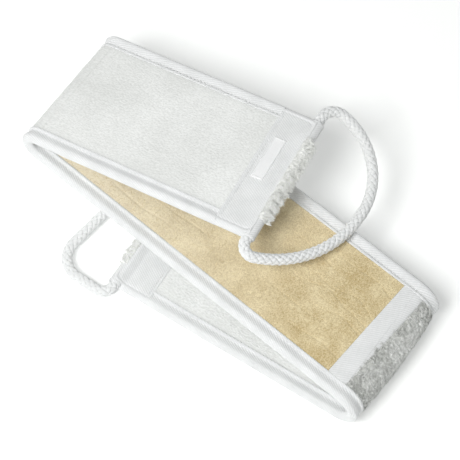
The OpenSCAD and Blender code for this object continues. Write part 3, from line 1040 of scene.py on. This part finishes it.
def add_casing(soft, place_s, lift):
    """The webbing roll that holds the rope, as a tube across the strap."""
    half = STRAP_HALF_W - 0.6
    v = np.linspace(-half, half, 230)[:, None]
    angle = np.linspace(0, 2 * math.pi, 57)[:-1][None]
    near_end = half - np.abs(v)
    cuff = 0.12 * bump_at(near_end, 1.6, 0.9) - 0.75 * np.clip(1 - near_end / 0.8, 0, 1) ** 2
    r = CASING_R + cuff + 0.09 * ribs(v, angle * CASING_R) - 0.1
    outer = casing_point(place_s, lift, angle + 0 * v, r, v)
    outer[:, :, 2] = np.maximum(outer[:, :, 2], -HALF_T)
    ends = v[[0, -1]]
    inner = casing_point(place_s, lift, angle + 0 * ends, CASING_BORE + 0 * angle, ends)
    flat = np.concatenate([outer.reshape(-1, 3), inner.reshape(-1, 3)])
    cloth = flat.copy()
    cloth[:v.size * angle.size, 0] = np.tile(angle[0] * CASING_R, v.size)
    faces = [(f[:, [0, 3, 2, 1]], sharp) for f, sharp in bored_tube(v.size, angle.size)]
    flipped = place_s(1.0) < place_s(0.0)
    soft.add(on_strap(flat), cloth, turned(faces, flipped))


def add_tab_stitches(soft, place_s, tab_len):
    """Stitches across the tab, beside its inner edge and beside the casing."""
    t = np.linspace(0, 1, 6)
    for inward, height in ((tab_len - TAB_STITCH_IN, HALF_T - 0.2), (SEAM_IN + 4.6, HALF_T - 0.3)):
        v0 = np.arange(-STRAP_HALF_W + 6, STRAP_HALF_W - 8, STITCH_PITCH)
        v = v0[:, None] + t * STITCH_LEN
        n = np.broadcast_to(height + 0.25 * np.sin(math.pi * t), v.shape)
        flat = np.stack([np.full(v.shape, place_s(inward)), v, n], axis=2)
        add_tubes(soft, bent(flat), TAB_STITCH_RADII, 6)


def add_fringe(soft, place_s, lift, longest):
    """Long pile that wraps the casing between its two corner rolls."""
    half = FRINGE_HALF_W
    v = np.linspace(-half, half, 130)[:, None]
    low, high = math.radians(-80), math.radians(88)
    angle = np.linspace(low, high, 36)[None]
    taper = np.clip((half - np.abs(v)) / 1.6, 0, 1) ** 0.5
    puff = 0.15 + 0.4 * tufts(v, angle * CASING_R, 2.2, 91) + 0.3 * waves(v, angle * 6, 1.1, 92)
    ends = np.sin((angle - low) / (high - low) * math.pi) ** 0.4
    r = CASING_R + 0.15 + puff * taper * ends
    outer = casing_point(place_s, lift, angle + 0 * v, r, v)
    inner = casing_point(place_s, lift, angle + 0 * v, CASING_R - 0.4 + 0 * r, v)
    for layer in (outer, inner):
        layer[:, :, 2] = np.maximum(layer[:, :, 2], -HALF_T + 0.1)
    flat = np.concatenate([outer.reshape(-1, 3), inner.reshape(-1, 3)])
    skin = np.arange(v.size * angle.size).reshape(v.size, angle.size)
    back = skin + skin.size
    faces = [
        (quads(skin[:-1, :-1], skin[:-1, 1:], skin[1:, 1:], skin[1:, :-1]), False),
        (quads(back[:-1, :-1], back[1:, :-1], back[1:, 1:], back[:-1, 1:]), True),
        (quads(skin[:-1, 0], skin[1:, 0], back[1:, 0], back[:-1, 0]), True),
        (quads(skin[:-1, -1], back[:-1, -1], back[1:, -1], skin[1:, -1]), True),
        (quads(skin[0, :-1], back[0, :-1], back[0, 1:], skin[0, 1:]), True),
        (quads(skin[-1, :-1], skin[-1, 1:], back[-1, 1:], back[-1, :-1]), True),
    ]
    flipped = place_s(1.0) < place_s(0.0)
    soft.add(on_strap(flat), flat, turned(faces, flipped))

    rng = np.random.default_rng(131)
    tuft_count, per_tuft = 520, 13
    count = tuft_count * per_tuft

    def of_tuft(values):
        """A value of each tuft, for each of its fibres."""
        return np.repeat(values, per_tuft)

    tuft_v = of_tuft((rng.random(tuft_count) * 2 - 1) * (half - 0.8))
    tuft_angle = of_tuft(high - math.radians(130) * rng.random(tuft_count) ** 1.6)
    tuft_len = of_tuft(0.45 + 0.55 * rng.random(tuft_count))
    root_v = tuft_v + rng.normal(size=count) * 0.35
    root_angle = np.minimum(tuft_angle + rng.normal(size=count) * 0.1, high)
    length = longest * tuft_len * (0.55 + 0.45 * rng.random(count))
    aim = root_angle * 0.45 + rng.normal(size=count) * 0.12 + of_tuft(rng.normal(size=tuft_count) * 0.2)
    arch = 0.22 + 0.2 * rng.random(count)
    sway = rng.normal(size=count) * 0.4 + of_tuft(rng.normal(size=tuft_count) * 0.9)
    share = np.array([0, 0.35, 0.7, 1.0])[None]
    reach = length[:, None] * share
    way = (aim + arch)[:, None] - 1.4 * arch[:, None] * share
    root_r = CASING_R - 0.1
    out = root_r * np.cos(root_angle)[:, None] + reach * np.cos(way)
    up = lift + root_r * np.sin(root_angle)[:, None] + reach * np.sin(way)
    v = np.clip(root_v[:, None] + sway[:, None] * share ** 1.5, -half - 0.8, half + 0.8)
    flat = np.stack([place_s(CASING_R - out), v, np.maximum(up, -HALF_T + 0.25)], axis=2)
    cloth = np.stack([flat[:, :, 0], v, 3 + 0 * v + 2 * share], axis=2)
    add_tubes(soft, bent(flat), FRINGE_RADII, 3, cloth)


def make_label():
    """The small woven label on the upper tab, left blank."""
    low, high = flat_box("label", UPPER_PLACE)

    def height(s, v):
        near = np.minimum(np.minimum(s - low[0], high[0] - s), np.minimum(v - low[1], high[1] - v))
        border = 0.3 * bump_at(near, 0.8, 0.45) + 0.04 * np.sin(v * 2 * math.pi / 0.8)
        return high[2] + border - 0.35 * np.clip(1 - near / 0.35, 0, 1)

    soft = Soft()
    v_range = (low[1], high[1])
    add_sheet(soft, TERRY, straight(low[0]), straight(high[0]), v_range, height, HALF_T - 0.6, LABEL_GRID)
    settle(soft, "blank_label", LABEL_CLOTH, "upper_section", "label")


# ---- rope handles

def heading(a, b):
    """Heading of the rope between two circles that it passes on the same side."""
    d = b[:2] - a[:2]
    slope = np.clip((a[2] - b[2]) / np.linalg.norm(d), -1, 1)
    return math.atan2(d[1], d[0]) + math.asin(slope)


def loop_path(circles, step):
    """Points at even spacing along a belt round a row of circles, from its hidden middle, with their
    distances along it.
    """
    circles = [np.array(c, float) for c in circles]
    points = [np.array([0.0, 0.0])]
    last = len(circles) - 1
    for i, c in enumerate(circles):
        first = -math.pi / 2 if i == 0 else heading(circles[i - 1], c)
        final = 1.5 * math.pi if i == last else heading(c, circles[i + 1])
        if i == last and final - first > 2 * math.pi:
            final -= 2 * math.pi
        turn = np.linspace(first, final, max(2, round(abs(final - first) * c[2] / 0.3)))
        points += [c[:2] + c[2] * np.array([math.sin(h), -math.cos(h)]) for h in turn]
    points = np.array(points + [np.array([0.0, 0.0])])
    gaps = np.linalg.norm(np.diff(points, axis=0), axis=1)
    keep = np.concatenate([[True], gaps > 1e-6])
    points = points[keep]
    along = distance_along(points)
    count = round(along[-1] / step)
    at = np.linspace(0, along[-1], count + 1)
    path = np.stack([np.interp(at, along, points[:, i]) for i in range(2)], axis=1)
    return path, at


def add_braid(soft, circles, place):
    """A braided rope round the loop: two sets of yarns that cross over and under."""
    path, at = loop_path(circles, 0.42)
    tangent = unit(np.gradient(path, axis=0))
    side = np.stack([-tangent[:, 1], tangent[:, 0], 0 * at], axis=1)
    centre = np.concatenate([path, 0 * at[:, None]], axis=1)
    up = np.array([0.0, 0.0, 1.0])
    pitch = at[-1] * ROPE_STRANDS / round(at[-1] * ROPE_STRANDS / ROPE_PITCH)
    wave = np.cos(2 * math.pi * ROPE_STRANDS * at / pitch)
    turn = np.arange(8) * math.pi / 4
    for way in (1, -1):
        for strand in range(ROPE_STRANDS):
            phase = way * 2 * math.pi * at / pitch + 2 * math.pi * strand / ROPE_STRANDS
            out = side * np.cos(phase)[:, None] + up * np.sin(phase)[:, None]
            r = YARN_OUT + way * YARN_WEAVE * wave
            line = centre + out * r[:, None]
            run = unit(np.gradient(line, axis=0))
            wide = unit(np.cross(run, out))
            thick = np.cross(wide, run)
            ring = (
                wide[:, None] * np.cos(turn)[:, None] * YARN_HALF_W
                + thick[:, None] * np.sin(turn)[:, None] * YARN_HALF_T
            )
            points = line[:, None] + ring
            skin = np.arange(len(at) * len(turn)).reshape(len(at), -1)
            faces = [
                (ring_walls(skin), False),
                (skin[0][None], True),
                (skin[-1][None, ::-1], True),
            ]
            cloth = np.stack([
                np.repeat(at, len(turn)) * way,
                np.tile(turn, len(at)) * YARN_GRAIN,
                np.full(skin.size, strand * YARN_APART),
            ], axis=1)
            soft.add(move(place, points.reshape(-1, 3)), cloth, faces)
    coarse, _ = loop_path(circles, 1.5)
    core = move(place, np.concatenate([coarse, np.zeros((len(coarse), 1))], axis=1))
    add_tubes(soft, core[None], np.full(len(core), ROPE_CORE_R), 12)


def upper_circles():
    """Circles that the upper handle's rope runs round, x away from the strap."""
    exit_v, far_v = STRAP_HALF_W + 0.8, STRAP_HALF_W + 4
    tight, wide = 7.0, 12.0
    leave, meet = math.radians(25), math.radians(176)
    lack, gain = 1 - math.sin(leave), 1 - math.sin(meet)
    total = -lack * math.cos(meet) + gain * math.cos(leave)
    span, slack = exit_v + far_v, 2 * (wide - tight)
    near = (gain * span - slack * math.cos(meet)) / total
    far = (lack * span - slack * math.cos(leave)) / total
    return [
        (tight, -exit_v, tight),
        (tight - near * math.sin(leave), near * math.cos(leave) - exit_v, near + tight),
        (wide - far * math.sin(meet), far_v + far * math.cos(meet), far + wide),
        (wide, far_v, wide),
    ]


def lower_circles():
    exit_v = STRAP_HALF_W + 0.8
    return [(8, -exit_v, 8), (8, 12 - exit_v, 20), (24, 41, 17), (8, exit_v, 8)]


def make_handles():
    """The two braided rope handles."""
    turn = Matrix.Rotation(math.radians(HANDLE_DROOP), 4, "Y")
    place = UPPER_PLACE @ np.array(
        Matrix.Translation((STRAP_END - CASING_R, 0, -CASING_LIFT)) @ turn, float
    )
    soft = Soft()
    add_braid(soft, upper_circles(), place)
    settle(soft, "upper_rope", ROPE_YARN, "upper_handle", "upper_rope_handle")

    half_turn = Matrix.Rotation(math.pi, 4, "Z")
    place = LOWER_PLACE @ np.array(Matrix.Translation((CASING_R, 0, CASING_LIFT)) @ half_turn, float)
    soft = Soft()
    add_braid(soft, lower_circles(), place)
    settle(soft, "lower_rope", ROPE_YARN, "lower_handle", "lower_rope_handle")


# ---- stage

AZIMUTH = math.radians(32.37)
ELEVATION = math.radians(64.2)
DISTANCE = 1.1023
LENS = 125.1
SENSOR = 36
AIM = Vector((-0.0424, 0.0290, 0.0))
FLOOR_SIZE = 8
FLOOR_Z = -0.0002
WORLD_LIGHT = 0.335

# The camera's own right, the way ahead of it along the floor, and up
RIGHT = Vector((math.cos(AZIMUTH), math.sin(AZIMUTH), 0))
AHEAD = Vector((-math.sin(AZIMUTH), math.cos(AZIMUTH), 0))
UP = Vector((0, 0, 1))


def make_floor():
    """A plain pale floor just under the object."""
    bpy.ops.mesh.primitive_plane_add(size=FLOOR_SIZE, location=(0, 0, FLOOR_Z))
    floor = bpy.context.object
    floor.name = "floor"
    paper = bpy.data.materials.new("paper")
    paper.use_nodes = True
    shader = paper.node_tree.nodes["Principled BSDF"]
    shader.inputs["Base Color"].default_value = (0.97, 0.98, 0.97, 1)
    shader.inputs["Emission Color"].default_value = (1, 1, 1, 1)
    shader.inputs["Emission Strength"].default_value = 0.22
    shader.inputs["Roughness"].default_value = 0.9
    floor.data.materials.append(paper)


def aimed(name, data, direction, distance):
    """Puts a light or camera at a distance from the aim point, and turns it to face that point."""
    holder = bpy.data.objects.new(name, data)
    holder.location = AIM + direction * distance
    holder.rotation_mode = "QUATERNION"
    holder.rotation_quaternion = (AIM - holder.location).to_track_quat("-Z", "Y")
    bpy.context.scene.collection.objects.link(holder)
    return holder


def add_lamp(name, direction, distance, size, power):
    light = bpy.data.lights.new(name, "AREA")
    light.size = size
    light.energy = power
    aimed(name, light, direction.normalized(), distance)


def make_lights():
    """A soft key from the front left, a weak fill from above, and a dim even sky."""
    add_lamp("key", RIGHT * -0.5 - AHEAD * 0.5 + UP * 1.05, distance=1.4, size=0.6, power=13.6)
    add_lamp("fill", RIGHT * 0.3 + AHEAD * 0.2 + UP, distance=2.2, size=1.8, power=3)
    world = bpy.data.worlds.new("studio")
    world.use_nodes = True
    world.node_tree.nodes["Background"].inputs["Color"].default_value = (0.98, 1.0, 0.985, 1)
    world.node_tree.nodes["Background"].inputs["Strength"].default_value = WORLD_LIGHT
    bpy.context.scene.world = world
    bpy.context.scene.view_settings.view_transform = "Standard"


def make_camera():
    """The camera, at the viewing angle of the photograph."""
    camera = bpy.data.cameras.new("camera")
    camera.lens = LENS
    camera.sensor_width = SENSOR
    back = -AHEAD * math.cos(ELEVATION) + UP * math.sin(ELEVATION)
    bpy.context.scene.camera = aimed("camera", camera, back, DISTANCE)


def lower_s(inward):
    """Distance in from the lower end to s."""
    return inward


def upper_s(inward):
    """Distance in from the upper end to s."""
    return STRAP_END - inward


make_faces()
make_bands()
make_bindings()
make_fold(LOWER_FOLD, "lower_fold", outer_pile)
make_fold(UPPER_FOLD, "upper_fold", inner_pile)
make_end("lower", lower_s, CASING_LIFT, LOWER_TAB_END, LOWER_FRINGE)
make_end("upper", upper_s, -CASING_LIFT, STRAP_END - UPPER_TAB_START, UPPER_FRINGE)
make_label()
make_handles()
make_floor()
make_lights()
make_camera()
